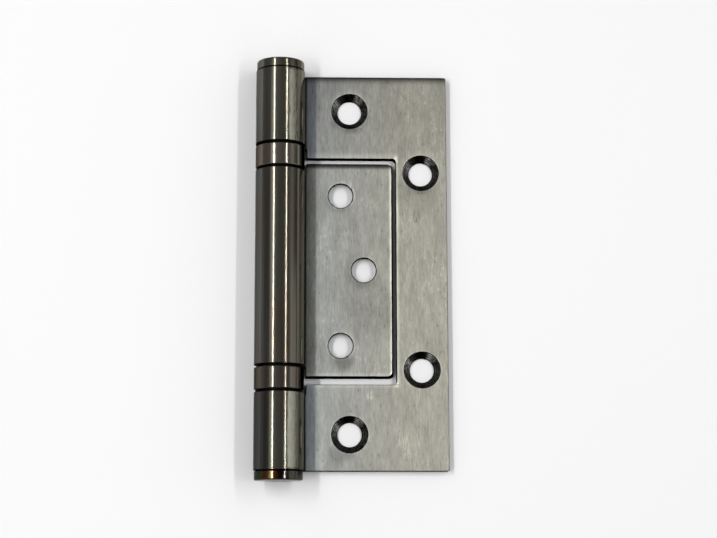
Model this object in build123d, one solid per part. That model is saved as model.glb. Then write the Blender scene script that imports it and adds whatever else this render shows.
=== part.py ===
from build123d import *
import math
import os

# A door hinge whose small leaf nests in a window of the large one, lying closed on its back.
# Lengths are in millimetres. The pin's axis runs along Y, +X points to the leaves' free
# edges, and both backs lie in the plane Z = 0, which the barrel touches too. Each piece is
# drawn with the pin's axis over X = 0, and the whole is then centred on its footprint.

# Leaves: stamped sheet, measured from the pin's axis along X
leaf_thickness = 2.3
outer_leaf_height = 100.0
outer_leaf_reach = 42.0
inner_leaf_height = 53.9
inner_leaf_reach = 28.0
inner_leaf_shift = 0.3
nesting_gap_side = 1.2
nesting_gap_end = 1.75
outer_corner_radius = 0.5
inner_corner_radius = 1.1
window_corner_radius = 1.0
edge_chamfer = 0.12

# Barrel: the sheet rolled round the pin
barrel_radius = 6.15
roll_thinning = 0.05
roll_end_gap = 0.12
roll_start_gap = 0.45
knuckle_rim_chamfer = 0.25
cap_seam_chamfer = 0.12
middle_knuckle_height = 48.8

# Screw holes: centres from the pin's axis and from mid-height
screw_hole_radius = 3.0
countersink_radius = 4.55
countersink_angle = 82.0
hole_edge_break = 0.3
outer_near_hole = (17.45, 41.0)
outer_far_hole = (35.45, 25.0)
inner_end_hole = (15.2, 19.0)
inner_middle_hole_x = 21.0

# Pin and end caps
pin_clearance = 0.05
pin_end_play = 0.1
pin_point = 0.5
cap_radius = 5.95
cap_height = 2.45
cap_edge_chamfer = 0.3
cap_plug_length = 4.0
press_clearance = 0.01

# Ball bearings between the knuckles
bearing_height = 6.65
collar_gap = 0.6
collar_wall = 0.4
collar_rim_chamfer = 0.2
moving_race_clearance = 0.25
race_opening = 0.7
groove_angle = 90.0
ball_radius = 0.6
ball_count = 6
ball_clearance = 0.04
cage_thickness = 0.5
cage_clearance = 0.15

# Sizes that follow
strip_thickness = leaf_thickness - roll_thinning
eye_radius = barrel_radius - strip_thickness
pin_radius = eye_radius - pin_clearance
plate_start = barrel_radius + roll_start_gap
window_reach = inner_leaf_reach + nesting_gap_side
window_height = inner_leaf_height + 2 * nesting_gap_end
leaf_end = outer_leaf_height / 2
knuckle_end = middle_knuckle_height / 2
bearing_end = knuckle_end + bearing_height
bearing_middle = knuckle_end + bearing_height / 2
collar_bore = barrel_radius - collar_wall
collar_height = bearing_height - 2 * collar_gap
ball_circle = (eye_radius + collar_bore) / 2
pin_axis_x = (barrel_radius - outer_leaf_reach) / 2


def on_barrel(radius, angle):
    """A point in a section across the barrel, at this radius and angle in degrees round the pin."""
    return (
        radius * math.cos(math.radians(angle)),
        barrel_radius + radius * math.sin(math.radians(angle)),
    )


def strip_section():
    """The sheet's section where it leaves the flat, rolls round the pin and ends just above the flat."""
    end = math.degrees(math.asin((strip_thickness + roll_end_gap) / barrel_radius - 1))
    halfway = (270 + end) / 2
    outline = [
        Line((plate_start, 0), (0, 0)),
        ThreePointArc((0, 0), on_barrel(barrel_radius, halfway), on_barrel(barrel_radius, end)),
        Line(on_barrel(barrel_radius, end), on_barrel(eye_radius, end)),
        ThreePointArc(on_barrel(eye_radius, end), on_barrel(eye_radius, halfway), (0, strip_thickness)),
        Line((0, strip_thickness), (plate_start, strip_thickness)),
        Line((plate_start, strip_thickness), (plate_start, 0)),
    ]
    return make_face(Curve() + outline)


def rolled_knuckle(low, high, low_rim, high_rim):
    """One knuckle with its strip, from low to high along the pin, its outer rims chamfered."""
    knuckle = Pos(0, high, 0) * extrude(Plane.XZ * strip_section(), high - low)
    arcs = knuckle.edges().filter_by(GeomType.CIRCLE).group_by(SortBy.RADIUS)[-1].sort_by(Axis.Y)
    knuckle = chamfer(arcs[0], low_rim)
    arcs = knuckle.edges().filter_by(GeomType.CIRCLE).group_by(SortBy.RADIUS)[-1].sort_by(Axis.Y)
    return chamfer(arcs[-1], high_rim)


def plate(reach, low, high, corner_radius):
    """A flat rectangle of sheet from beside the barrel to its free edge, free corners rounded."""
    width = reach - plate_start
    blank = Pos(plate_start + width / 2, (low + high) / 2, leaf_thickness / 2) * Box(
        width, high - low, leaf_thickness
    )
    corners = blank.edges().filter_by(Axis.Z).group_by(Axis.X)[-1]
    return fillet(corners, corner_radius)


def soften_outline(blank):
    """Breaks the front edges of the sheet, all but those beside the barrel."""
    front = blank.faces().sort_by(Axis.Z)[-1]
    edges = front.edges().filter_by(lambda edge: edge.center().X > plate_start + edge_chamfer)
    return chamfer(edges, edge_chamfer)


def screw_hole(x, y, countersunk_from_front):
    """What a countersunk screw hole takes out of the sheet at this place."""
    slope = math.tan(math.radians(countersink_angle / 2))
    depth = (countersink_radius - screw_hole_radius) / slope
    bore = Pos(x, y, leaf_thickness / 2) * Cylinder(screw_hole_radius, leaf_thickness * 2)
    if countersunk_from_front:
        sink = Pos(x, y, leaf_thickness - depth / 2) * Cone(
            screw_hole_radius, countersink_radius, depth
        )
        return bore + sink
    sink = Pos(x, y, depth / 2) * Cone(countersink_radius, screw_hole_radius, depth)
    edge_break = Pos(x, y, leaf_thickness - hole_edge_break / 2) * Cone(
        screw_hole_radius, screw_hole_radius + hole_edge_break, hole_edge_break
    )
    return bore + sink + edge_break


def outer_leaf():
    """The large leaf, with the window that the small one nests in and the two end knuckles."""
    blank = plate(outer_leaf_reach, -leaf_end, leaf_end, outer_corner_radius)
    blank -= plate(window_reach, -window_height / 2, window_height / 2, window_corner_radius)
    blank = soften_outline(blank)
    for x, y in (outer_near_hole, outer_far_hole):
        blank -= screw_hole(x, y, True)
        blank -= screw_hole(x, -y, True)
    blank += rolled_knuckle(bearing_end, leaf_end, knuckle_rim_chamfer, cap_seam_chamfer)
    blank += rolled_knuckle(-leaf_end, -bearing_end, cap_seam_chamfer, knuckle_rim_chamfer)
    return blank


def inner_leaf():
    """The small leaf, countersunk from behind, with the long knuckle in the middle."""
    low = inner_leaf_shift - inner_leaf_height / 2
    high = inner_leaf_shift + inner_leaf_height / 2
    blank = soften_outline(plate(inner_leaf_reach, low, high, inner_corner_radius))
    x, y = inner_end_hole
    for centre in ((x, y), (x, -y), (inner_middle_hole_x, 0)):
        blank -= screw_hole(*centre, False)
    rim = knuckle_rim_chamfer
    return blank + rolled_knuckle(-knuckle_end, knuckle_end, rim, rim)


def turned(section, height):
    """A section of radius against height, turned round the pin's axis and set at this height."""
    ring = revolve(Plane.XY * section, Axis.Y, 360)
    return Pos(0, height, barrel_radius) * ring


def ring_section(inner, outer, low, high):
    """The rectangle that turns into a plain ring."""
    return Pos((inner + outer) / 2, (low + high) / 2) * Rectangle(outer - inner, high - low)


def hinge_pin():
    """The straight pin, with its ends chamfered, between the plugs of the two caps."""
    half = leaf_end - cap_plug_length - pin_end_play
    section = Polygon(
        (0, -half),
        (pin_radius - pin_point, -half),
        (pin_radius, pin_point - half),
        (pin_radius, half - pin_point),
        (pin_radius - pin_point, half),
        (0, half),
        align=None,
    )
    return turned(section, 0)


def cap():
    """An end cap standing on the top knuckle: a flat head and the plug pressed into the eye."""
    plug_radius = eye_radius - press_clearance
    section = Polygon(
        (0, -cap_plug_length),
        (plug_radius, -cap_plug_length),
        (plug_radius, 0),
        (cap_radius, 0),
        (cap_radius, cap_height - cap_edge_chamfer),
        (cap_radius - cap_edge_chamfer, cap_height),
        (0, cap_height),
        align=None,
    )
    return turned(section, leaf_end)


def bearing_collar():
    """The plain outer ring of a bearing, centred on the pin's mid-height."""
    section = ring_section(collar_bore, barrel_radius, -collar_height / 2, collar_height / 2)
    rims = section.vertices().group_by(Axis.X)[-1]
    return turned(chamfer(rims, collar_rim_chamfer), 0)


def race(outer_radius):
    """A race above the balls: a ring with a ball groove below, which bears on the knuckle above."""
    low = race_opening / 2
    high = bearing_height / 2
    half_angle = math.radians(groove_angle / 2)
    groove_bottom = (ball_radius + ball_clearance) / math.sin(half_angle)
    half_groove = (groove_bottom - low) * math.tan(half_angle)
    section = Polygon(
        (eye_radius, low),
        (ball_circle - half_groove, low),
        (ball_circle, groove_bottom),
        (ball_circle + half_groove, low),
        (outer_radius, low),
        (outer_radius, high),
        (eye_radius, high),
        align=None,
    )
    return turned(section, 0)


def ball_angles():
    """Where the balls stand round the pin, in degrees."""
    return [360 * turn / ball_count for turn in range(ball_count)]


def ball_cage():
    """The flat ring between the races, with a square window for each ball."""
    inner = pin_radius + cage_clearance
    outer = collar_bore - cage_clearance
    ring = turned(ring_section(inner, outer, -cage_thickness / 2, cage_thickness / 2), 0)
    side = 2 * (ball_radius + ball_clearance)
    for angle in ball_angles():
        x, z = on_barrel(ball_circle, angle)
        ring -= Pos(x, 0, z) * Rot(0, -angle, 0) * Box(side, 2 * cage_thickness, side)
    return ring


def ball():
    """One ball, faceted so that a ring of them stays light: a cube with every edge cut back alike."""
    facet = 2 * ball_radius / math.sqrt(5 + 2 * math.sqrt(2))
    side = facet * (1 + math.sqrt(2))
    cube = Box(side, side, side)
    return chamfer(cube.edges(), facet / math.sqrt(2))


def balls():
    """The ring of loose balls of one bearing."""
    places = [on_barrel(ball_circle, angle) for angle in ball_angles()]
    return Part() + [Pos(x, 0, z) * ball() for x, z in places]


def bearing(side):
    """The pieces of one bearing by name, above the middle knuckle if side is 1, below it if -1."""
    pieces = {
        "bearing_collar": bearing_collar(),
        "outer_race": race(collar_bore - press_clearance),
        "inner_race": mirror(race(collar_bore - moving_race_clearance), Plane.XZ),
        "ball_cage": ball_cage(),
        "balls": balls(),
    }
    placed = {name: Pos(0, bearing_middle, 0) * piece for name, piece in pieces.items()}
    if side == 1:
        return placed
    return {name: mirror(piece, Plane.XZ) for name, piece in placed.items()}


def hinge():
    """Every piece of the hinge by name."""
    pieces = {
        "outer_leaf": outer_leaf(),
        "inner_leaf": inner_leaf(),
        "hinge_pin": hinge_pin(),
        "top_cap": cap(),
        "bottom_cap": mirror(cap(), Plane.XZ),
    }
    for word, side in (("upper", 1), ("lower", -1)):
        for name, piece in bearing(side).items():
            pieces[f"{word}_{name}"] = piece
    return {name: Pos(pin_axis_x, 0, 0) * piece for name, piece in pieces.items()}


os.makedirs("parts", exist_ok=True)
for name, piece in hinge().items():
    export_step(piece, f"parts/{name}.step")
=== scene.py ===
import bpy
import bmesh
import math
from mathutils import Matrix, Vector


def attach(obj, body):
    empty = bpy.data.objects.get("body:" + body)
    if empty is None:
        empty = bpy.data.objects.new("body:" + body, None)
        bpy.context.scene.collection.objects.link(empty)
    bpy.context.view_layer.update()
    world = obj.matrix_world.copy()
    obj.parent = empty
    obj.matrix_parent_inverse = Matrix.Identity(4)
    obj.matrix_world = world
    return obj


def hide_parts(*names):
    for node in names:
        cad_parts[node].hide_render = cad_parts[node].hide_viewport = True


# A non-mortise hinge, closed and lying on its back. Lengths in the tables are millimetres from
# the pin's axis along X, from mid-height along Y and from the leaves' backs along Z, as in the
# part's source, and mm() turns them into metres in the row frame.

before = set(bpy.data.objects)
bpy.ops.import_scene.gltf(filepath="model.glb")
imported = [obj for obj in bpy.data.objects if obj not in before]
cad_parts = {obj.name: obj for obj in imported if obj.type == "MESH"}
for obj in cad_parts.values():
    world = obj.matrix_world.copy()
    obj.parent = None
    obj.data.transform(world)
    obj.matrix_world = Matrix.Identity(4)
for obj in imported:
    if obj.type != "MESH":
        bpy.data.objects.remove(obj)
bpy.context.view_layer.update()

UNIT = 0.001

# Leaves
LEAF_THICKNESS = 2.3
OUTER_END = 50.0
OUTER_REACH = 42.0
INNER_LOW = -26.65
INNER_HIGH = 27.25
INNER_REACH = 28.0
WINDOW_END = 28.7
WINDOW_REACH = 29.2
PLATE_START = 6.6
OUTER_CORNER = 0.5
INNER_CORNER = 1.1
WINDOW_CORNER = 1.0
# How far the sheared edges lean out towards the back
INNER_LEAN = 0.42
WINDOW_LEAN = 0.12

# Barrel
BARREL_RADIUS = 6.15
ROLL_THINNING = 0.05
ROLL_END_GAP = 0.12
MIDDLE_KNUCKLE_END = 24.4
KNUCKLE_START = 31.05
BARREL_SEGMENTS = 112

# Screw holes. The small leaf's are broken on the front by an arc that turns this many degrees
# and runs out a little over the face.
HOLE_RADIUS = 3.0
COUNTERSINK_RADIUS = 4.55
COUNTERSINK_DEPTH = 1.783
HOLE_BREAK = 0.3
HOLE_BREAK_TURN = 78
HOLE_BREAK_STEPS = 4
HOLE_BREAK_OUT = 0.1
HOLE_BREAK_OVER = 0.02
OUTER_HOLES = ((17.45, 41.0), (35.45, 25.0), (35.45, -25.0), (17.45, -41.0))
INNER_HOLES = ((15.2, 19.0), (21.0, 0.0), (15.2, -19.0))
HOLE_SEGMENTS = 72

# Caps, collars and bearings
CAP_RADIUS = 5.95
CAP_HEIGHT = 2.45
CAP_PLUG_RADIUS = 3.89
CAP_PLUG_LENGTH = 4.0
COLLAR_BORE = 5.75
COLLAR_HALF_HEIGHT = 2.725
BEARING_MIDDLE = 27.725
RACE_LOW = 0.35
RACE_HIGH = 3.325
RACE_BORE = 3.9
OUTER_RACE_RADIUS = 5.74
INNER_RACE_RADIUS = 5.5
BALL_CIRCLE = 4.825
BALL_RADIUS = 0.6
BALL_COUNT = 6
BALL_CLEARANCE = 0.04
BALL_BANDS = 12
GROOVE_STEPS = 8
RACE_ROUNDING = 0.1
COLLAR_ROUNDING = 0.3
CAP_EDGE = 0.4
CAP_GROOVE = 0.24
CAP_GROOVE_DEPTH = 0.45
CAP_GROOVE_EDGE = 0.1
TURNED_SEGMENTS = 112

# Roundings: the steps of a corner's arc, the degrees from which an edge is sharp, the widest
# bevel, the share of it that each edge takes, and how much flat faces lead the normals
ARC_STEPS = 6
SHARP_EDGE = 30
EDGE_BEVEL = 0.25
EDGE_BEVEL_STEPS = 3
HOLE_SHARE = 0.3
WINDOW_SHARE = 0.25
SHEET_SHARE = 0.6
KNUCKLE_SHARE = 0.7
FLAT_FACE_WEIGHT = 60

# Welding distances in metres
WELD = 1e-7
COLLAPSE = 1e-8

# How far cutting shapes reach past what they cut
PAST = 1
FAR_PAST = 2

# The finishes of a leaf, as places in its list of materials; how far the flat's finishes start
# before the flat; how square to an axis the normal of a face is that faces along it, or is level
BRUSHED, ROLLED, SHEARED, BORED = range(4)
FLAT_MARGIN = 0.3
FACING = 0.9
LEVEL = 0.999

# Painted light: colours across a leaf that grow lighter, and warmer, towards its far edge:
# (place from the pin's axis, colour)
LEAF_TONES = (
    (6.6, (0.265, 0.275, 0.265)), (15.1, (0.271, 0.275, 0.258)), (23.5, (0.295, 0.291, 0.257)),
    (32.0, (0.311, 0.303, 0.257)),
)
# Colours across the bottom cap: the brown and green-black that heat left on its left half, and
# painted reflection in the dark and pale bands on its right half; and where and how its flat end
# takes over
HEAT_TINT_AND_REFLECTION_TONES = (
    (-6.2, (0.058, 0.064, 0.049)), (-4.6, (0.014, 0.027, 0.017)), (-3.1, (0.105, 0.045, 0.018)),
    (-1.7, (0.205, 0.145, 0.078)), (-0.9, (0.075, 0.024, 0.006)), (0.2, (0.014, 0.006, 0.004)),
    (1.0, (0.016, 0.010, 0.008)), (1.5, (0.100, 0.095, 0.088)), (2.1, (0.032, 0.029, 0.024)),
    (5.4, (0.075, 0.073, 0.060)),
)
HEAT_END = -52.1
HEAT_END_TONE = (0.07, 0.062, 0.05, 1.0)

# Painted shade at a leaf's upper end: how bright it is in from that end (distance, brightness)
OUTER_END_TONES = ((0.0, 0.04), (0.44, 0.3), (1.1, 0.68), (1.76, 0.93), (2.2, 1.0))
INNER_END_TONES = ((0.0, 0.03), (0.54, 0.16), (0.81, 0.3), (1.35, 0.88), (1.62, 1.0))

# The two clouded tones of the barrel's polish; its tints, a cool painted reflection of the pale
# floor on the side away from the leaves and the polish's warm tint on the rest; the haze on its end
# knuckles, a rougher patch with a painted sheen; and the two tones of the collars
BARREL_TONES = ((0.102, 0.092, 0.078, 1.0), (0.086, 0.087, 0.075, 1.0))
BARREL_TINTS_AND_PAINTED_REFLECTION = ((0.98, 1.0, 1.06, 1.0), (1.03, 0.995, 0.92, 1.0))
BARREL_HAZE_AND_SHEEN = (0.38, 0.38, 0.31, 1.0)
COLLAR_TONES = ((0.172, 0.146, 0.118, 1.0), (0.148, 0.134, 0.112, 1.0))

# Painted glints and painted shade in a screw hole: how bright it is round the clock, in degrees
# clockwise from its upper end
OUTER_GLINTS_AND_SHADE = (
    (-180, 0.025), (-105, 0.045), (-75, 0.14), (-60, 0.34), (-45, 0.05), (-15, 0.004),
    (15, 0.01), (30, 0.4), (45, 0.22), (60, 0.03), (90, 0.06), (180, 0.025),
)
INNER_GLINTS_AND_SHADE = ((-180, 0.12), (-60, 0.02), (-30, 0.003), (30, 0.003), (60, 0.02), (180, 0.12))
CUTTER_PITCH = 0.42

# How much metal mirrors at a glancing angle
EDGE_SHINE = (0.5, 0.5, 0.5, 1.0)
DULL_SHINE = (0.08, 0.08, 0.08, 1.0)

# How far in and how deep a stamped surface sinks at its upper end and round its holes, how far
# the barrel's painted shadow reaches on it, and how far from the middle its painted brightness
# leans along the pin
END_SINK = (1.5, 0.06)
HOLE_SINK = (1.7, 0.08)
SHADE_END = 10.5
LEAN_END = 45.0

# Marks on the leaves: (only on the streaks, x, y, half across, half along, gain). They are
# scratches, flecks and lighter streaks, a broad darker patch on the small leaf, and painted shade
# in the dark patches below the screw holes and round the small leaf's middle hole
OUTER_MARKS = (
    (True, 34.3, 14.1, 1.3, 2.6, 0.55), (True, 22.5, -31.6, 1.0, 2.2, 1.5),
    (True, 31.0, -43.5, 3.0, 4.0, 1.15), (True, 18.9, 36.2, 2.8, 1.6, 0.6),
    (True, 35.5, 20.2, 2.0, 1.0, 0.6), (True, 20.3, 36.9, 0.5, 0.4, 1.9),
    (False, 14.8, -45.8, 4.0, 3.2, 0.72),
)
INNER_MARKS = (
    (False, 22.5, -9.0, 9.0, 12.0, 0.82), (False, 20.0, -0.5, 5.5, 6.0, 0.74),
    (False, 15.9, -23.0, 3.4, 3.0, 0.64), (True, 17.0, 9.0, 2.0, 4.0, 1.15),
)

# Edges beside the slit: (runs along the pin, place, reach, gain). They hold painted highlights
# along the upright edges, where a rounded edge catches a lamp, painted shade in dark lines along
# the lower edges, and lighter bands along the ends of the window and of the small leaf
OUTER_RIMS = (
    (False, WINDOW_END, 2.0, 1.45), (False, -WINDOW_END, 1.2, 1.25),
    (False, -WINDOW_END, 0.25, 0.4), (True, WINDOW_REACH, 1.0, 1.7),
)
INNER_RIMS = (
    (True, INNER_REACH, 0.8, 2.4), (False, INNER_LOW, 1.4, 1.4), (False, INNER_LOW, 0.15, 0.2),
)

# Where most values of a noise lie
NOISE_LOW = 0.3
NOISE_HIGH = 0.7
WHITE = (1.0, 1.0, 1.0, 1.0)

AXIS_X = (BARREL_RADIUS - OUTER_REACH) / 2


def mm(x, y, z):
    """A place in the row frame, in metres, from millimetres measured from the pin's axis."""
    return Vector(((x + AXIS_X) * UNIT, y * UNIT, z * UNIT))


def linked(name, data):
    """A new object in the scene over a mesh, light or camera."""
    made = bpy.data.objects.new(name, data)
    bpy.context.scene.collection.objects.link(made)
    return made


# Materials


class Wiring:
    """A node tree being wired: add() makes a node, and sockets are passed on as values."""

    def __init__(self, owner):
        owner.use_nodes = True
        self.tree = owner.node_tree
        self.tree.nodes.clear()

    def add(self, kind, inputs=(), **settings):
        node = self.tree.nodes.new(kind)
        for key, value in settings.items():
            setattr(node, key, value)
        for key, value in dict(inputs).items():
            self.set(node.inputs[key], value)
        return node

    def set(self, socket, value):
        if isinstance(value, bpy.types.NodeSocket):
            self.tree.links.new(value, socket)
        else:
            socket.default_value = value

    def math(self, operation, a, b=0.0):
        return self.add("ShaderNodeMath", {0: a, 1: b}, operation=operation).outputs[0]

    def times(self, first, *others):
        for other in others:
            first = self.math("MULTIPLY", first, other)
        return first

    def ramp(self, value, low, high, out_low=0.0, out_high=1.0, smooth=True):
        """value from low to high made into out_low to out_high, and held beyond."""
        inputs = {"Value": value, "From Min": low, "From Max": high}
        inputs.update({"To Min": out_low, "To Max": out_high})
        kind = "SMOOTHSTEP" if smooth else "LINEAR"
        return self.add("ShaderNodeMapRange", inputs, interpolation_type=kind).outputs[0]

    def bands(self, value, bands):
        """The colours that value runs through: (place, colour)."""
        low, high = bands[0][0], bands[-1][0]
        node = self.add("ShaderNodeValToRGB", {0: self.ramp(value, low, high, smooth=False)})
        stops = node.color_ramp.elements
        for index, (place, colour) in enumerate(bands):
            place = (place - low) / (high - low)
            stop = stops[index] if index < len(stops) else stops.new(place)
            stop.position = place
            stop.color = colour + (1.0,)
        return node.outputs["Color"]

    def levels(self, value, levels):
        """The brightness that value runs through: (place, brightness)."""
        return self.bands(value, [(place, (grey,) * 3) for place, grey in levels])


class Shader(Wiring):
    """A material in millimetres from the pin's axis, on the piece's own coordinates."""

    def __init__(self, name):
        self.material = bpy.data.materials.new(name)
        super().__init__(self.material)
        place = self.add("ShaderNodeTexCoord").outputs["Object"]
        to_mm = {"Vector": place, "Scale": (1 / UNIT,) * 3, "Location": (-AXIS_X, 0.0, 0.0)}
        self.place = self.add("ShaderNodeMapping", to_mm).outputs[0]
        self.x, self.y, self.z = self.add("ShaderNodeSeparateXYZ", {0: self.place}).outputs

    def vector(self, x, y, z):
        return self.add("ShaderNodeCombineXYZ", {0: x, 1: y, 2: z}).outputs[0]

    def vector_math(self, operation, inputs):
        return self.add("ShaderNodeVectorMath", inputs, operation=operation)

    def length(self, x, y):
        return self.vector_math("LENGTH", {0: self.vector(x, y, 0.0)}).outputs["Value"]

    def noise(self, factors, detail=2.0, rough=0.5, shift=0.0):
        """Noise with this many cells to the millimetre along each axis."""
        mapping = {"Vector": self.place, "Scale": factors, "Location": (shift, shift, shift)}
        stretched = self.add("ShaderNodeMapping", mapping).outputs[0]
        inputs = {"Vector": stretched, "Scale": 1.0, "Detail": detail, "Roughness": rough}
        return self.add("ShaderNodeTexNoise", inputs).outputs["Fac"]

    def varied(self, noise, low, high, smooth=False):
        """A noise whose values lie from low to high."""
        return self.ramp(noise, NOISE_LOW, NOISE_HIGH, low, high, smooth)

    def gained(self, inside, gain):
        """1 where inside is 0, and gain where it is 1."""
        return self.ramp(inside, 0.0, 1.0, 1.0, gain, smooth=False)

    def spot(self, x, y, across, along):
        """1 in the middle of an oval patch, 0 outside it."""
        away = self.length(
            self.math("DIVIDE", self.math("SUBTRACT", self.x, x), across),
            self.math("DIVIDE", self.math("SUBTRACT", self.y, y), along),
        )
        return self.ramp(away, 0.4, 1.0, 1.0, 0.0)

    def blend(self, factor, a, b):
        """Colour a turning into colour b."""
        node = self.add("ShaderNodeMix", data_type="RGBA")
        self.set(node.inputs["Factor"], factor)
        self.set(node.inputs[6], a)
        self.set(node.inputs[7], b)
        return node.outputs[2]

    def tinted(self, factor, colour):
        """A colour times a grey factor."""
        if not isinstance(colour, bpy.types.NodeSocket):
            colour = colour[:3]
        return self.vector_math("SCALE", {0: colour, "Scale": factor}).outputs[0]

    def colour_times(self, colour, dye):
        """A colour times another."""
        return self.vector_math("MULTIPLY", {0: colour, 1: dye}).outputs[0]

    def bump(self, height):
        """The normal over a relief of this height in millimetres."""
        return self.add("ShaderNodeBump", {"Height": height, "Distance": UNIT}).outputs[0]

    def turned(self, vector):
        """A direction on the piece as it lies in the posed scene."""
        node = self.add("ShaderNodeVectorTransform", {0: vector})
        node.vector_type = "VECTOR"
        node.convert_from = "OBJECT"
        node.convert_to = "WORLD"
        return node.outputs[0]

    def finish(self, **inputs):
        surface = self.add("ShaderNodeBsdfPrincipled")
        for key, value in inputs.items():
            self.set(surface.inputs[key.replace("_", " ")], value)
        output = self.add("ShaderNodeOutputMaterial", {"Surface": surface.outputs[0]})
        output.is_active_output = True
        return self.material


def hole_place(s, holes):
    """Across, along and straight from the nearest screw hole; both ends have the same holes."""
    (end_x, end_y), (middle_x, middle_y) = holes[:2]
    along = s.math("ABSOLUTE", s.y)
    at_end = s.math("GREATER_THAN", along, (end_y + middle_y) / 2)
    centre_x = s.ramp(at_end, 0.0, 1.0, middle_x, end_x, smooth=False)
    centre_y = s.ramp(at_end, 0.0, 1.0, middle_y, end_y, smooth=False)
    across = s.math("SUBTRACT", s.x, centre_x)
    along = s.times(s.math("SUBTRACT", along, centre_y), s.math("SIGN", s.y))
    return across, along, s.length(across, along)


def rolled_off(s, away, reach, depth):
    """How far a stamped surface sinks, away being the distance from the edge it sinks towards."""
    near = s.ramp(away, 0.0, reach, 1.0, 0.0, smooth=False)
    return s.times(near, near, -depth)


def painted_rim_light_and_shade(s, rims):
    """The painted highlights, painted shade and lighter bands along the edges beside the slit."""
    level = 1.0
    for upright, place, reach, gain in rims:
        if upright:
            own, other, end = s.x, s.math("ABSOLUTE", s.y), WINDOW_END
        else:
            own, other, end = s.y, s.x, WINDOW_REACH
        away = s.math("ABSOLUTE", s.math("SUBTRACT", own, place))
        near = s.ramp(away, 0.0, reach, 1.0, 0.0)
        inside = s.times(near, s.ramp(other, end, end + 1.0, 1.0, 0.0))
        level = s.times(s.gained(inside, gain), level)
    return level


def marked(s, marks, streaks):
    """How bright the marks, and the painted shade among them, make a leaf."""
    level = 1.0
    for streaky, x, y, across, along, gain in marks:
        inside = s.spot(x, y, across, along)
        if streaky:
            inside = s.times(inside, streaks)
        level = s.times(level, s.gained(inside, gain))
    return level


def brushed(name, holes, rim, high, end_tones, lean, shift, near, marks, rims):
    """The satin face of a leaf, brushed along the pin.

    It sinks a little at its upper end, high, and round the rim of its holes, and end_tones paint it
    darker as shade at that end. Beside the barrel it carries the barrel's painted shadow in the
    colour near, with painted shade in the corner against the knuckle, and by the share lean it is
    painted brighter at its lower end and darker at its upper end.
    """
    s = Shader(name)
    fine = s.noise((2.3, 0.34, 0.4), detail=3.0, rough=0.65, shift=shift)
    broad = s.noise((0.6, 0.13, 0.1), detail=3.0, rough=0.6, shift=shift + 3)
    cloud = s.noise((0.07, 0.045, 0.05), shift=shift + 7)
    speck = s.noise((1.9, 0.75, 0.5), detail=1.0, shift=shift + 11)
    clouded_speck = s.times(speck, s.ramp(cloud, 0.35, 0.65, 0.85, 1.05))
    grain = s.times(
        s.varied(fine, 0.84, 1.16), s.varied(broad, 0.88, 1.12), s.varied(cloud, 0.95, 1.05),
        s.ramp(clouded_speck, 0.64, 0.74, 1.0, 1.25), s.ramp(speck, 0.26, 0.36, 0.76, 1.0),
    )
    # Painted light: brighter towards the lower end and darker towards the upper end, most beside
    # the barrel
    slope = s.ramp(s.y, -LEAN_END, LEAN_END, lean, -lean, smooth=False)
    slope = s.math("ADD", s.times(slope, s.ramp(s.x, 22.0, 9.0)), 1.0)
    away = s.math("SUBTRACT", hole_place(s, holes)[2], rim)
    worn = s.times(s.ramp(away, 0.1, 0.6, 1.0, 0.0), s.ramp(fine, 0.35, 0.6))
    edge = s.math("SUBTRACT", high, s.y)
    # Painted shade in the corner against the knuckle
    contact = s.ramp(s.x, PLATE_START - 0.3, PLATE_START + 0.4, 0.2, 1.0)
    level = s.times(
        grain, marked(s, marks, s.ramp(fine, 0.45, 0.6)), slope, s.gained(worn, 1.25),
        s.levels(edge, end_tones), painted_rim_light_and_shade(s, rims), contact,
    )
    relief = s.math("ADD", rolled_off(s, edge, *END_SINK), rolled_off(s, away, *HOLE_SINK))
    relief = s.math("ADD", relief, s.times(fine, 0.004))
    # The barrel's painted shadow on the face beside it, in the colour near
    shade = s.blend(s.ramp(s.x, PLATE_START, SHADE_END), near, WHITE)
    return s.finish(
        Base_Color=s.tinted(level, s.colour_times(s.bands(s.x, LEAF_TONES), shade)), Metallic=1.0,
        Roughness=s.ramp(broad, 0.2, 0.8, 0.36, 0.46, smooth=False), Normal=s.bump(relief),
        Anisotropic=0.6, Tangent=s.turned((1.0, 0.0, 0.0)),
    )


def polish(s, tones):
    """A near-black polish: its colour, roughness and normal, and the noise of its haze."""
    line = s.noise((1.0, 0.03, 1.0), detail=3.0, rough=0.6)
    cloud = s.noise((0.22, 0.06, 0.22), detail=2.0, shift=5)
    fine = s.noise((1.6, 0.35, 1.6), detail=3.0, rough=0.6, shift=9)
    level = s.times(s.varied(line, 0.85, 1.15), s.varied(cloud, 0.88, 1.12))
    colour = s.tinted(level, s.blend(s.ramp(cloud, 0.35, 0.65), *tones))
    relief = s.math("ADD", s.times(cloud, 0.0012), s.times(fine, 0.0003))
    return colour, s.varied(fine, 0.11, 0.16), s.bump(relief), fine


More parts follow.
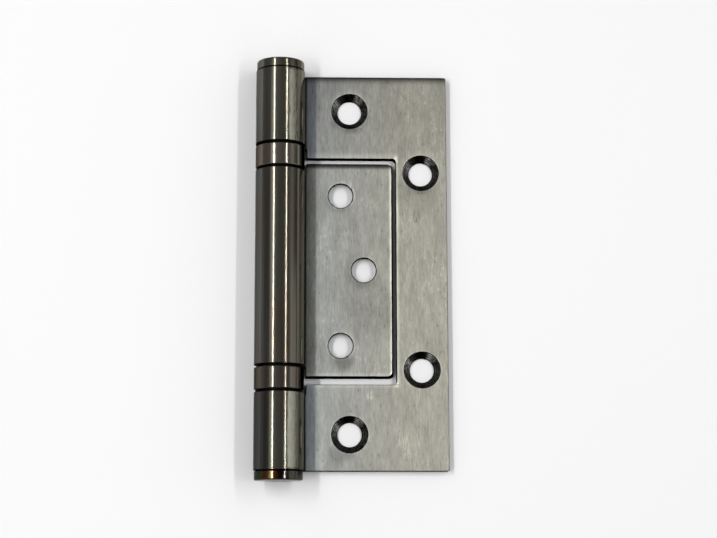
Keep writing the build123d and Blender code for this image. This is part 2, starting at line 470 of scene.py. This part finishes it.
def polished_barrel(name):
    """The polish of the knuckles and the top cap, hazed on the leaves' side of the end knuckles,
    with painted shade and painted reflection.
    """
    s = Shader(name)
    colour, rough, normal, fine = polish(s, BARREL_TONES)
    from_middle = s.math("ABSOLUTE", s.y)
    # Painted shade: the corner against the leaves, the far side of the lower knuckle, and the near
    # flanks of both end knuckles are painted darker
    contact = s.times(s.ramp(s.x, 5.0, 5.6), s.ramp(s.z, 3.4, 2.6))
    dull = s.times(s.ramp(s.y, -28.0, -32.0), s.ramp(s.x, -1.5, -3.5))
    flank = s.times(
        s.ramp(from_middle, 28.0, 32.0), s.ramp(s.x, 3.4, 4.6), s.ramp(s.x, 5.0, 5.5, 1.0, 0.0),
    )
    # Painted reflection: the flank towards the leaves is painted lighter, and so is the top end
    level = s.times(
        s.ramp(s.x, 3.9, 6.2, 1.0, 2.2), s.ramp(s.y, 26.0, 50.0, 1.0, 1.3),
        s.ramp(contact, 0.0, 1.0, 1.0, 0.1), s.gained(dull, 0.6), s.gained(flank, 0.42),
    )
    # The polish's warm tint, with a cool painted reflection of the pale floor on the side away from
    # the leaves
    dye = s.blend(s.ramp(s.x, -4.5, -1.0), *BARREL_TINTS_AND_PAINTED_REFLECTION)
    # The haze: a rougher, lighter patch on the end knuckles, with a painted sheen that fades away
    # from the right lamp's highlight
    haze = s.times(
        s.ramp(from_middle, 30.0, 31.0),
        s.ramp(from_middle, OUTER_END - 1.0, OUTER_END, 1.0, 0.0),
        s.ramp(s.x, 1.9, 2.8),
        s.ramp(s.x, 2.6, 5.3, 1.0, 0.0, smooth=False),
        s.ramp(s.z, 6.0, 8.0),
        s.ramp(fine, 0.3, 0.62, 0.6, 1.0),
    )
    colour = s.blend(haze, s.tinted(level, s.colour_times(colour, dye)), BARREL_HAZE_AND_SHEEN)
    rough = s.math("ADD", rough, s.times(haze, 0.36))
    return s.finish(
        Base_Color=colour, Metallic=1.0, Specular_Tint=EDGE_SHINE, Roughness=rough, Normal=normal,
    )


def polished_collar(name):
    """The brown polish of the collars, painted darker to both sides as shade, and darker on the
    lower collar.
    """
    s = Shader(name)
    colour, rough, normal, _ = polish(s, COLLAR_TONES)
    # Painted shade on both flanks, in the colour and in how much the edges mirror
    side = s.times(s.ramp(s.x, 4.7, 5.5, 1.0, 0.3), s.ramp(s.x, -6.2, -2.5, 0.75, 1.0))
    level = s.times(side, s.ramp(s.y, -1.0, 1.0, 0.62, 1.0))
    return s.finish(
        Base_Color=s.tinted(level, colour), Metallic=1.0, Specular_Tint=s.tinted(side, EDGE_SHINE),
        Roughness=rough, Normal=normal,
    )


def heat_tint_and_painted_reflection(name):
    """The bottom cap's polish, run to brown and black by heat on its left half, with painted
    reflection bands on its right half.
    """
    s = Shader(name)
    drift = s.noise((0.5, 0.5, 0.5), detail=3.0, shift=2)
    fine = s.noise((1.6, 0.6, 1.6), detail=3.0, shift=9)
    across = s.math("ADD", s.x, s.ramp(drift, 0.2, 0.8, -0.3, 0.3, smooth=False))
    at_end = s.ramp(s.y, HEAT_END, HEAT_END - 0.3)
    colour = s.blend(at_end, s.bands(across, HEAT_TINT_AND_REFLECTION_TONES), HEAT_END_TONE)
    return s.finish(
        Base_Color=s.tinted(s.varied(fine, 0.8, 1.2, smooth=True), colour), Metallic=1.0,
        Specular_Tint=EDGE_SHINE, Roughness=s.varied(fine, 0.11, 0.17),
    )


def turned_hole(name, holes, shine, glints_and_shade):
    """The dark cone of a screw hole, with the fine rings that its cutter left, and painted glints
    and painted shade round it.
    """
    s = Shader(name)
    across, along, away = hole_place(s, holes)
    fine = s.noise((1.4, 1.4, 1.4), detail=3.0)
    wavy = s.math("ADD", away, s.times(fine, 0.05))
    ring = s.math("SINE", s.times(wavy, math.tau / CUTTER_PITCH))
    # Painted glints and painted shade round the clock
    turn = s.math("DEGREES", s.math("ARCTAN2", across, along))
    level = s.times(
        s.varied(fine, 0.75, 1.25, smooth=True), s.ramp(ring, -1.0, 1.0, 0.35, 1.9, smooth=False),
        s.levels(turn, glints_and_shade),
    )
    return s.finish(
        Base_Color=s.tinted(level, (1.0, 0.98, 0.92)), Metallic=1.0,
        Specular_Tint=s.tinted(s.ramp(along, 0.3, 2.4, shine, 0.02), WHITE),
        Roughness=s.varied(fine, 0.24, 0.34, smooth=True), Normal=s.bump(s.times(ring, 0.002)),
        Anisotropic=0.7, Tangent=s.turned(s.vector(across, along, 0.0)),
    )


def sheared(name):
    """The dark edge that the shear leaves, scored across the sheet, painted near black as shade in
    the slits and on the roundings of the leaves' edges, which take this finish.
    """
    s = Shader(name)
    score = s.noise((2.6, 2.6, 0.25), detail=3.0, rough=0.6)
    lip = s.ramp(s.z, LEAF_THICKNESS - 0.25, LEAF_THICKNESS - 0.05)
    level = s.math("ADD", s.varied(score, 0.008, 0.02, smooth=True), s.times(lip, 0.005))
    return s.finish(
        Base_Color=s.tinted(level, (1.0, 0.97, 0.88)), Metallic=1.0, Specular_Tint=DULL_SHINE,
        Roughness=s.varied(score, 0.32, 0.48, smooth=True), Normal=s.bump(s.times(score, 0.006)),
    )


def ground(name, level, rough):
    """Plain steel turned and ground round the pin."""
    s = Shader(name)
    fine = s.noise((0.6, 6.0, 0.6), detail=3.0)
    grain = s.varied(fine, 0.85 * level, 1.15 * level, smooth=True)
    return s.finish(
        Base_Color=s.tinted(grain, (1.0, 0.98, 0.94)), Metallic=1.0, Specular_Tint=EDGE_SHINE,
        Roughness=s.varied(fine, rough, rough + 0.1, smooth=True),
        Normal=s.bump(s.times(fine, 0.001)),
    )


def moulded(name, colour):
    """Plain nylon with the dull skin of its mould."""
    s = Shader(name)
    fine = s.noise((3.0, 3.0, 3.0), detail=3.0)
    return s.finish(
        Base_Color=s.tinted(s.varied(fine, 0.94, 1.04, smooth=True), colour),
        Roughness=s.varied(fine, 0.42, 0.55, smooth=True), Normal=s.bump(s.times(fine, 0.004)),
    )


# Stage: floor, lights, world and camera

FLOOR_HALF = 3.0
FLOOR_LEVEL = -0.00001
FLOOR_TONE = (0.93, 0.93, 0.93, 1.0)


def make_floor():
    mesh = bpy.data.meshes.new("floor")
    corners = [(-1, -1), (1, -1), (1, 1), (-1, 1)]
    points = [(x * FLOOR_HALF, y * FLOOR_HALF, FLOOR_LEVEL) for x, y in corners]
    mesh.from_pydata(points, [], [(0, 1, 2, 3)])
    material = bpy.data.materials.new("floor")
    material.use_nodes = True
    surface = material.node_tree.nodes["Principled BSDF"]
    surface.inputs["Base Color"].default_value = FLOOR_TONE
    surface.inputs["Roughness"].default_value = 0.9
    surface.inputs["Specular IOR Level"].default_value = 0.0
    mesh.materials.append(material)
    linked("floor", mesh)


# Long lamps over the pin and parallel to it, in metres: (name, lean to one side as a tangent,
# width, brightness)
LAMPS = (
    ("lamp_left", -0.513, 0.012, 94.0), ("lamp_right", 0.597, 0.012, 67.0),
    ("glow_near", -0.62, 0.06, 2.2), ("glow_far", -0.80, 0.14, 0.8), ("window", 2.6, 0.9, 0.9),
)
LAMP_HEIGHT = 0.6
LAMP_FROM = -0.2
LAMP_TO = 0.28


def make_lamps():
    for name, lean, width, brightness in LAMPS:
        light = bpy.data.lights.new(name, "AREA")
        light.shape = "RECTANGLE"
        light.size = width
        light.size_y = LAMP_TO - LAMP_FROM
        light.energy = brightness * math.pi * light.size * light.size_y
        lamp = linked(name, light)
        across = AXIS_X * UNIT + lean * LAMP_HEIGHT
        lamp.location = (across, (LAMP_FROM + LAMP_TO) / 2, LAMP_HEIGHT)
        lamp.rotation_euler = (0.0, math.atan(lean), 0.0)


# Strengths: the room's light, its dark ceiling, the room that metal mirrors, and the white that
# the camera sees
ROOM = 0.715
CEILING = 0.12
MIRRORED = 0.42
SEEN = 0.93
# Shares of the mirrored room's brightness, by the X of the direction
MIRRORED_BANDS = (
    (-1.0, 1.5), (-0.93, 0.68), (-0.69, 0.75), (-0.26, 1.2), (0.26, 0.65), (0.47, 1.0),
    (0.62, 0.4), (0.84, 1.9), (0.97, 0.4), (1.0, 0.8),
)


def make_world():
    world = bpy.data.worlds.new("room")
    bpy.context.scene.world = world
    w = Wiring(world)
    direction = w.add("ShaderNodeTexCoord").outputs["Generated"]
    across, along, _ = w.add("ShaderNodeSeparateXYZ", {0: direction}).outputs
    # The room's light comes least from the ceiling along the pin, and less again from the sides
    side = w.math("ABSOLUTE", across)
    room = w.times(w.ramp(side, 0.12, 0.4, CEILING, ROOM), w.ramp(side, 0.5, 0.95, 1.0, 0.5))
    # The mirrored room is dark past the hinge's top end and pale below that, and banded across
    past_top = w.ramp(along, 0.2, 0.65, MIRRORED, MIRRORED / 8)
    mirrored = w.math("ADD", past_top, w.ramp(along, 0.7, 0.92, 0.0, 0.75))
    mirrored = w.times(mirrored, w.levels(across, MIRRORED_BANDS))

    def background(strength):
        inputs = {"Color": WHITE, "Strength": strength}
        return w.add("ShaderNodeBackground", inputs).outputs[0]

    path = w.add("ShaderNodeLightPath")
    shown = background(room)
    for ray, other in (("Is Glossy Ray", mirrored), ("Is Camera Ray", SEEN)):
        inputs = {0: path.outputs[ray], 1: shown, 2: background(other)}
        shown = w.add("ShaderNodeMixShader", inputs).outputs[0]
    w.add("ShaderNodeOutputWorld", {"Surface": shown})


# The camera, as fitted to the photo: turns about X, Y and Z, the shift in millimetres in
# front of the lens, and the focal length in pixels of a 717 pixel wide frame
CAMERA_TURNS = (-0.1708, 0.0329, 0.0019)
CAMERA_SHIFT = (-19.7444, -0.6596, -420.2548)
FOCAL_PIXELS = 1672.9
FRAME_PIXELS = 717
SENSOR = 36.0
CLIP_START = 0.01
CLIP_END = 20.0


def make_camera():
    about_x, about_y, about_z = [
        Matrix.Rotation(turn, 3, axis) for turn, axis in zip(CAMERA_TURNS, "XYZ")
    ]
    turn = about_z @ about_x @ about_y
    centre = turn.transposed() @ -Vector(CAMERA_SHIFT)
    data = bpy.data.cameras.new("camera")
    data.sensor_fit = "HORIZONTAL"
    data.sensor_width = SENSOR
    data.lens = FOCAL_PIXELS * SENSOR / FRAME_PIXELS
    data.clip_start = CLIP_START
    data.clip_end = CLIP_END
    camera = linked("camera", data)
    camera.matrix_world = Matrix.Translation(mm(*centre)) @ turn.transposed().to_4x4()
    bpy.context.scene.camera = camera


make_camera()
make_floor()
make_world()
make_lamps()

# Shapes


def rounded(corners):
    """A closed outline from corners (x, y, radius), each one with a radius turned into an arc."""
    points = []
    for index, (x, y, radius) in enumerate(corners):
        here = Vector((x, y))
        if radius == 0:
            points.append((x, y))
            continue
        before = (Vector(corners[index - 1][:2]) - here).normalized()
        after = (Vector(corners[(index + 1) % len(corners)][:2]) - here).normalized()
        half = before.angle(after) / 2
        centre = here + (before + after).normalized() * (radius / math.sin(half))
        first = here + before * (radius / math.tan(half)) - centre
        turn = first.angle_signed(here + after * (radius / math.tan(half)) - centre)
        for step in range(ARC_STEPS + 1):
            spoke = first.copy()
            spoke.rotate(Matrix.Rotation(-turn * step / ARC_STEPS, 2))
            points.append(tuple(centre + spoke))
    return points


def clean(mesh):
    """Welds what meets on the axis, and drops what the weld leaves over."""
    build = bmesh.new()
    build.from_mesh(mesh)
    bmesh.ops.remove_doubles(build, verts=build.verts, dist=WELD)
    bmesh.ops.dissolve_degenerate(build, edges=build.edges, dist=COLLAPSE)
    loose = [edge for edge in build.edges if not edge.link_faces]
    bmesh.ops.delete(build, geom=loose, context="EDGES")
    bmesh.ops.recalc_face_normals(build, faces=build.faces)
    build.to_mesh(mesh)
    build.free()


def closed_mesh(name, rings, close_ends):
    """A mesh over closed rings of points in millimetres.

    close_ends puts a face on the first ring and on the last; without it, the two are joined.
    """
    build = bmesh.new()
    made = [[build.verts.new(mm(*point)) for point in ring] for ring in rings]
    count = len(made[0])
    pairs = list(zip(made, made[1:]))
    if not close_ends:
        pairs.append((made[-1], made[0]))
    for low, high in pairs:
        for step in range(count):
            following = (step + 1) % count
            build.faces.new((low[step], low[following], high[following], high[step]))
    if close_ends:
        build.faces.new(made[0])
        build.faces.new(made[-1])
    bmesh.ops.recalc_face_normals(build, faces=build.faces)
    mesh = bpy.data.meshes.new(name)
    build.to_mesh(mesh)
    build.free()
    return mesh


def drawn_along_pin(name, section, low, high):
    """A section of (x, z) points drawn along Y."""
    return closed_mesh(name, [[(x, y, z) for x, z in section] for y in (low, high)], True)


def drawn_up(name, outline, lean):
    """An outline drawn along Z, its edges leaning out by this much towards the sheet's back."""
    levels = ((-PAST, lean), (0, lean), (LEAF_THICKNESS, 0), (2 * BARREL_RADIUS + PAST, 0))
    return closed_mesh(name, [[(x, y, z) for x, y in outline(by)] for z, by in levels], True)


def drilled(name, profile, x, y):
    """A profile of (radius, z) points turned about the upright line through x, y."""
    rings = []
    for step in range(HOLE_SEGMENTS):
        angle = math.tau * step / HOLE_SEGMENTS
        rings.append([(x + r * math.cos(angle), y + r * math.sin(angle), z) for r, z in profile])
    mesh = closed_mesh(name, rings, False)
    clean(mesh)
    return mesh


def turned_rings(profile, middle, side=1, axis=(0, BARREL_RADIUS), segments=TURNED_SEGMENTS):
    """A profile of (radius, height) points turned about a line along the pin.

    The line goes through axis, an (x, z) point, and height 0 is at middle.
    """
    rings = []
    for step in range(segments):
        angle = math.tau * step / segments
        across, up = math.cos(angle), math.sin(angle)
        rings.append(
            [(axis[0] + r * across, side * (middle + h), axis[1] + r * up) for r, h in profile]
        )
    return rings


def cut(mesh, steps):
    """The mesh after each step, (operation, other mesh), of solid arithmetic."""
    work = linked("work", mesh)
    tools = []
    for operation, other in steps:
        tool = linked("tool", other)
        tools.append(tool)
        step = work.modifiers.new(operation, "BOOLEAN")
        step.operation = operation
        step.solver = "EXACT"
        step.object = tool
    graph = bpy.context.evaluated_depsgraph_get()
    result = bpy.data.meshes.new_from_object(work.evaluated_get(graph))
    for spent in [work] + tools:
        spent_mesh = spent.data
        bpy.data.objects.remove(spent)
        bpy.data.meshes.remove(spent_mesh)
    return result


def piece(name, mesh, body, nodes, materials):
    """Puts a finished mesh on its body in place of the CAD nodes."""
    made = linked(name, mesh)
    for material in materials:
        mesh.materials.append(material)
    for polygon in mesh.polygons:
        polygon.use_smooth = True
    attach(made, body)
    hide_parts(*nodes)
    return made


def keep_edges(made):
    """Flat faces stay flat to the light, and their roundings carry the turn."""
    step = made.modifiers.new("normals", "WEIGHTED_NORMAL")
    step.weight = FLAT_FACE_WEIGHT
    step.keep_sharp = True


def turned_piece(node, ending, corners, middle, side, body, material):
    """A turned ring or cap from rounded corners of (radius, height, rounding)."""
    name = node + ending
    mesh = closed_mesh(name, turned_rings(rounded(corners), middle, side), False)
    clean(mesh)
    keep_edges(piece(name, mesh, body, [node], [material]))


# Leaves


def roll_point(radius, angle):
    return (radius * math.cos(angle), BARREL_RADIUS + radius * math.sin(angle))


def sheet_section(reach):
    """The sheet's section: the outside of its roll, the inside of it, and the flat."""
    strip = LEAF_THICKNESS - ROLL_THINNING
    eye = BARREL_RADIUS - strip
    last = math.asin((strip + ROLL_END_GAP) / BARREL_RADIUS - 1)
    start = -math.pi / 2
    sweep = math.tau - (last - start)
    angles = [start - sweep * step / BARREL_SEGMENTS for step in range(BARREL_SEGMENTS + 1)]
    outside = [roll_point(BARREL_RADIUS, angle) for angle in angles]
    inside = [roll_point(eye, angle) for angle in reversed(angles)]
    end = reach + PAST
    flat = [(PLATE_START, LEAF_THICKNESS), (end, LEAF_THICKNESS), (end, 0), (PLATE_START, 0)]
    return outside + inside + flat


# How fast a countersink widens
SINK_SLOPE = (COUNTERSINK_RADIUS - HOLE_RADIUS) / COUNTERSINK_DEPTH


def countersink_front(x, y):
    low = LEAF_THICKNESS - COUNTERSINK_DEPTH
    high = LEAF_THICKNESS + PAST
    profile = [(0, -PAST), (HOLE_RADIUS, -PAST), (HOLE_RADIUS, low)]
    profile += [(COUNTERSINK_RADIUS + SINK_SLOPE * PAST, high), (0, high)]
    return drilled("sink", profile, x, y)


def countersink_back(x, y):
    """A countersink from behind, its hole's edge broken on the front."""
    high = LEAF_THICKNESS + PAST
    profile = [(0, -PAST), (COUNTERSINK_RADIUS + SINK_SLOPE * PAST, -PAST)]
    profile.append((HOLE_RADIUS, COUNTERSINK_DEPTH))
    for step in range(HOLE_BREAK_STEPS + 1):
        angle = math.radians(HOLE_BREAK_TURN) * step / HOLE_BREAK_STEPS
        out = HOLE_BREAK * (1 - math.cos(angle))
        down = HOLE_BREAK * (1 - math.sin(angle))
        profile.append((HOLE_RADIUS + out, LEAF_THICKNESS - down))
    radius = profile[-1][0] + HOLE_BREAK_OUT
    profile += [(radius, LEAF_THICKNESS + HOLE_BREAK_OVER), (radius, high), (0, high)]
    return drilled("sink", profile, x, y)


def on_flat(centre):
    return centre.x > mm(PLATE_START - FLAT_MARGIN, 0, 0).x


def sort_faces(mesh, holes):
    """Gives each face its finish."""
    for polygon in mesh.polygons:
        centre = polygon.center
        upright = abs(polygon.normal.z)
        if not on_flat(centre):
            polygon.material_index = SHEARED if abs(polygon.normal.y) > FACING else ROLLED
            continue
        polygon.material_index = BRUSHED if upright > FACING else SHEARED
        for x, y in holes:
            away = (centre - mm(x, y, 0)).xy.length
            if away < COUNTERSINK_RADIUS * UNIT and upright < LEVEL:
                polygon.material_index = BORED


def bevel_share(edge):
    """How much an edge is rounded: most on the knuckles' rims, and least in the window."""
    if BORED in {face.material_index for face in edge.link_faces}:
        return HOLE_SHARE
    middle = (edge.verts[0].co + edge.verts[1].co) / 2
    if not on_flat(middle):
        return KNUCKLE_SHARE
    past_end = abs(middle.y) - WINDOW_END * UNIT
    past_reach = middle.x - mm(WINDOW_REACH, 0, 0).x
    return WINDOW_SHARE if max(past_end, past_reach) < UNIT else SHEET_SHARE


def soften(made, mesh):
    """Rounds the sharp edges."""
    build = bmesh.new()
    build.from_mesh(mesh)
    layer = "bevel_weight_edge"
    weight = build.edges.layers.float.get(layer) or build.edges.layers.float.new(layer)
    for edge in build.edges:
        if len(edge.link_faces) == 2 and edge.calc_face_angle(0) >= math.radians(SHARP_EDGE):
            edge[weight] = bevel_share(edge)
    build.to_mesh(mesh)
    build.free()
    step = made.modifiers.new("edges", "BEVEL")
    step.limit_method = "WEIGHT"
    step.width = EDGE_BEVEL * UNIT
    step.segments = EDGE_BEVEL_STEPS
    step.use_clamp_overlap = False
    step.miter_outer = "MITER_ARC"
    step.material = SHEARED


def leaf(name, body, outline, lean, reach, holes, cutter, finishes):
    """A leaf cut from its drawn sheet by its outline and its screw holes."""
    steps = [("INTERSECT", drawn_up("outline", outline, lean))]
    steps += [("DIFFERENCE", cutter(x, y)) for x, y in holes]
    end = OUTER_END + FAR_PAST
    mesh = cut(drawn_along_pin("sheet", sheet_section(reach), -end, end), steps)
    sort_faces(mesh, holes)
    made = piece(name + "_sheet", mesh, body, [name], finishes)
    soften(made, mesh)
    keep_edges(made)


def outer_outline(lean):
    left = -BARREL_RADIUS - FAR_PAST
    corners = [
        (left, -OUTER_END, 0),
        (OUTER_REACH, -OUTER_END, OUTER_CORNER),
        (OUTER_REACH, OUTER_END, OUTER_CORNER),
        (left, OUTER_END, 0),
        (left, KNUCKLE_START, 0),
        (PLATE_START, KNUCKLE_START, 0),
        (PLATE_START, WINDOW_END - lean, 0),
        (WINDOW_REACH - lean, WINDOW_END - lean, WINDOW_CORNER),
        (WINDOW_REACH - lean, lean - WINDOW_END, WINDOW_CORNER),
        (PLATE_START, lean - WINDOW_END, 0),
        (PLATE_START, -KNUCKLE_START, 0),
        (left, -KNUCKLE_START, 0),
    ]
    return rounded(corners)


def inner_outline(lean):
    left = -BARREL_RADIUS - FAR_PAST
    corners = [
        (left, -MIDDLE_KNUCKLE_END, 0),
        (PLATE_START, -MIDDLE_KNUCKLE_END, 0),
        (PLATE_START, INNER_LOW - lean, 0),
        (INNER_REACH + lean, INNER_LOW - lean, INNER_CORNER),
        (INNER_REACH + lean, INNER_HIGH + lean, INNER_CORNER),
        (PLATE_START, INNER_HIGH + lean, 0),
        (PLATE_START, MIDDLE_KNUCKLE_END, 0),
        (left, MIDDLE_KNUCKLE_END, 0),
    ]
    return rounded(corners)


# Bearings


def ball_set(name, side, body):
    """The loose balls of one bearing, each turned from a half circle, in one mesh."""
    turns = [math.pi * step / BALL_BANDS for step in range(BALL_BANDS + 1)]
    half_circle = [(BALL_RADIUS * math.sin(turn), -BALL_RADIUS * math.cos(turn)) for turn in turns]
    build = bmesh.new()
    for index in range(BALL_COUNT):
        centre = roll_point(BALL_CIRCLE, math.tau * index / BALL_COUNT)
        rings = turned_rings(half_circle, BEARING_MIDDLE, side, centre, 2 * BALL_BANDS)
        one = closed_mesh("ball", rings, False)
        build.from_mesh(one)
        bpy.data.meshes.remove(one)
    mesh = bpy.data.meshes.new(name)
    build.to_mesh(mesh)
    build.free()
    clean(mesh)
    piece(name + "_polished", mesh, body, [name], [BALL_STEEL])


def race_corners(radius):
    """A race above the balls, as rounded corners, its ball groove cut as an arc."""
    groove = BALL_RADIUS + BALL_CLEARANCE
    edge = math.acos(RACE_LOW / groove)
    corners = [(RACE_BORE, RACE_LOW, 0)]
    for step in range(GROOVE_STEPS + 1):
        angle = -edge + 2 * edge * step / GROOVE_STEPS
        corners.append((BALL_CIRCLE + groove * math.sin(angle), groove * math.cos(angle), 0))
    corners += [(radius, RACE_LOW, RACE_ROUNDING), (radius, RACE_HIGH, RACE_ROUNDING)]
    return corners + [(RACE_BORE, RACE_HIGH, 0)]


def flipped(corners):
    """The same corners below the balls."""
    return [(r, -h, rounding) for r, h, rounding in reversed(corners)]


COLLAR_CORNERS = (
    (COLLAR_BORE, -COLLAR_HALF_HEIGHT, 0),
    (BARREL_RADIUS, -COLLAR_HALF_HEIGHT, COLLAR_ROUNDING),
    (BARREL_RADIUS, COLLAR_HALF_HEIGHT, COLLAR_ROUNDING),
    (COLLAR_BORE, COLLAR_HALF_HEIGHT, 0),
)
CAP_CORNERS = (
    (0, -CAP_PLUG_LENGTH, 0),
    (CAP_PLUG_RADIUS, -CAP_PLUG_LENGTH, CAP_EDGE / 2),
    (CAP_PLUG_RADIUS, 0, 0),
    (CAP_RADIUS - CAP_GROOVE_DEPTH, 0, 0),
    (CAP_RADIUS - CAP_GROOVE_DEPTH, CAP_GROOVE, 0),
    (CAP_RADIUS, CAP_GROOVE, CAP_GROOVE_EDGE),
    (CAP_RADIUS, CAP_HEIGHT, CAP_EDGE),
    (0, CAP_HEIGHT, 0),
)

DARK = polished_barrel("polished_barrel")
BROWN = polished_collar("polished_collar")
CAP_HEAT_AND_REFLECTION = heat_tint_and_painted_reflection("polished_heat_tinted")
EDGE = sheared("sheared_edge")
# The races and the pin are painted near black, as shade in the gaps between the knuckles and the
# collars
STEEL = ground("race_steel_painted_as_shade", 0.003, 0.4)
BALL_STEEL = ground("ball_steel", 0.75, 0.08)
NYLON = moulded("nylon", (0.8, 0.78, 0.7))
# Each leaf's near is the colour of the barrel's painted shadow on it, and lean the share by which
# it is painted brighter at its lower end
OUTER_BRUSHED = brushed(
    "brushed_outer", holes=OUTER_HOLES, rim=COUNTERSINK_RADIUS, high=OUTER_END,
    end_tones=OUTER_END_TONES, lean=0.11, shift=0.0, near=(0.60, 0.63, 0.74, 1.0),
    marks=OUTER_MARKS, rims=OUTER_RIMS,
)
OUTER_BORED = turned_hole("turned_hole_outer", OUTER_HOLES, 0.25, OUTER_GLINTS_AND_SHADE)
INNER_BRUSHED = brushed(
    "brushed_inner", holes=INNER_HOLES, rim=HOLE_RADIUS + HOLE_BREAK, high=INNER_HIGH,
    end_tones=INNER_END_TONES, lean=-0.08, shift=20.0, near=(0.44, 0.44, 0.42, 1.0),
    marks=INNER_MARKS, rims=INNER_RIMS,
)
INNER_BORED = turned_hole("turned_hole_inner", INNER_HOLES, 0.8, INNER_GLINTS_AND_SHADE)

leaf(
    "outer_leaf", "frame_side", outer_outline, WINDOW_LEAN, OUTER_REACH, OUTER_HOLES,
    countersink_front, [OUTER_BRUSHED, DARK, EDGE, OUTER_BORED],
)
leaf(
    "inner_leaf", "door_side", inner_outline, INNER_LEAN, INNER_REACH, INNER_HOLES,
    countersink_back, [INNER_BRUSHED, DARK, EDGE, INNER_BORED],
)
for word, side, finish in (("top", 1, DARK), ("bottom", -1, CAP_HEAT_AND_REFLECTION)):
    turned_piece(
        word + "_cap", "_turned", CAP_CORNERS, OUTER_END, side,
        "frame_side", finish,
    )
OUTER_RACE = race_corners(OUTER_RACE_RADIUS)
INNER_RACE = flipped(race_corners(INNER_RACE_RADIUS))
for word, side in (("upper", 1), ("lower", -1)):
    for node, ending, corners, body, slot_name, finish in (
        ("_bearing_collar", "_turned", COLLAR_CORNERS, "frame_side", "polished_dark_steel", BROWN),
        ("_outer_race", "_ground", OUTER_RACE, "frame_side", "plain_steel", STEEL),
        ("_inner_race", "_ground", INNER_RACE, "door_side", "plain_steel", STEEL),
    ):
        turned_piece(word + node, ending, corners, BEARING_MIDDLE, side, body, finish)
    ball_set(word + "_balls", side, word + "_ball_ring")
for name, finish in (("hinge_pin", STEEL), ("upper_ball_cage", NYLON), ("lower_ball_cage", NYLON)):
    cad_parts[name].data.materials.clear()
    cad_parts[name].data.materials.append(finish)

scene = bpy.context.scene
scene.view_settings.view_transform = "Standard"
